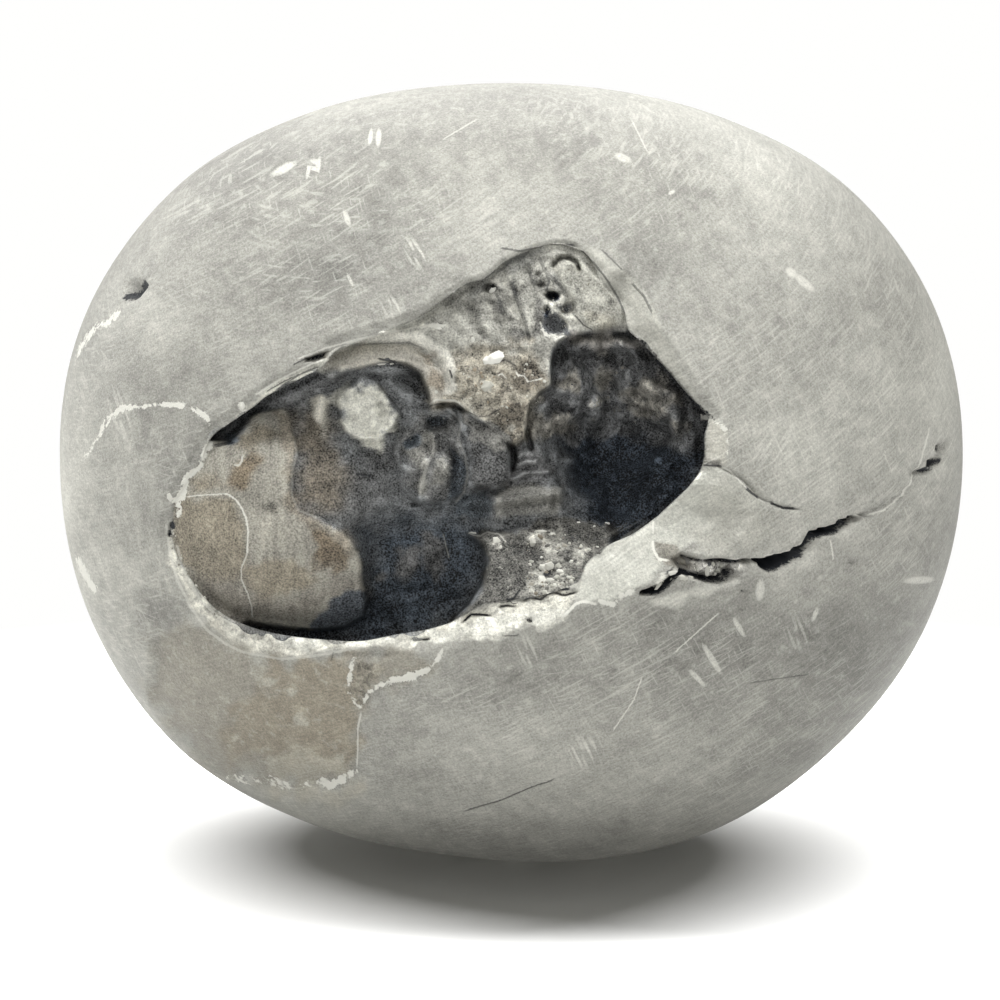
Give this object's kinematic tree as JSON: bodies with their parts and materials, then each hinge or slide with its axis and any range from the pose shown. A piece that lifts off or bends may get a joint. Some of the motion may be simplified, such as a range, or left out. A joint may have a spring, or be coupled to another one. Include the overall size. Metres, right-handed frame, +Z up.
{
  "type": "shaligram stone",
  "caption": "Rounded river-worn limestone nodule, broken open at the front over a fossil ammonite, standing on a small flat spot.",
  "frame": {"origin": "bottom centre of the box round the stone, level with the flat spot that it stands on", "axes": "+X across the stone's longest width to the right, +Y from the broken mouth to the back, +Z up"},
  "size_m": [0.0904, 0.0708, 0.0773],
  "materials": {
    "stone": "worn smooth outside, broken and crusted inside the mouth"
  },
  "bodies": {
    "root": {"stone": "stone"}
  },
  "joints": []
}
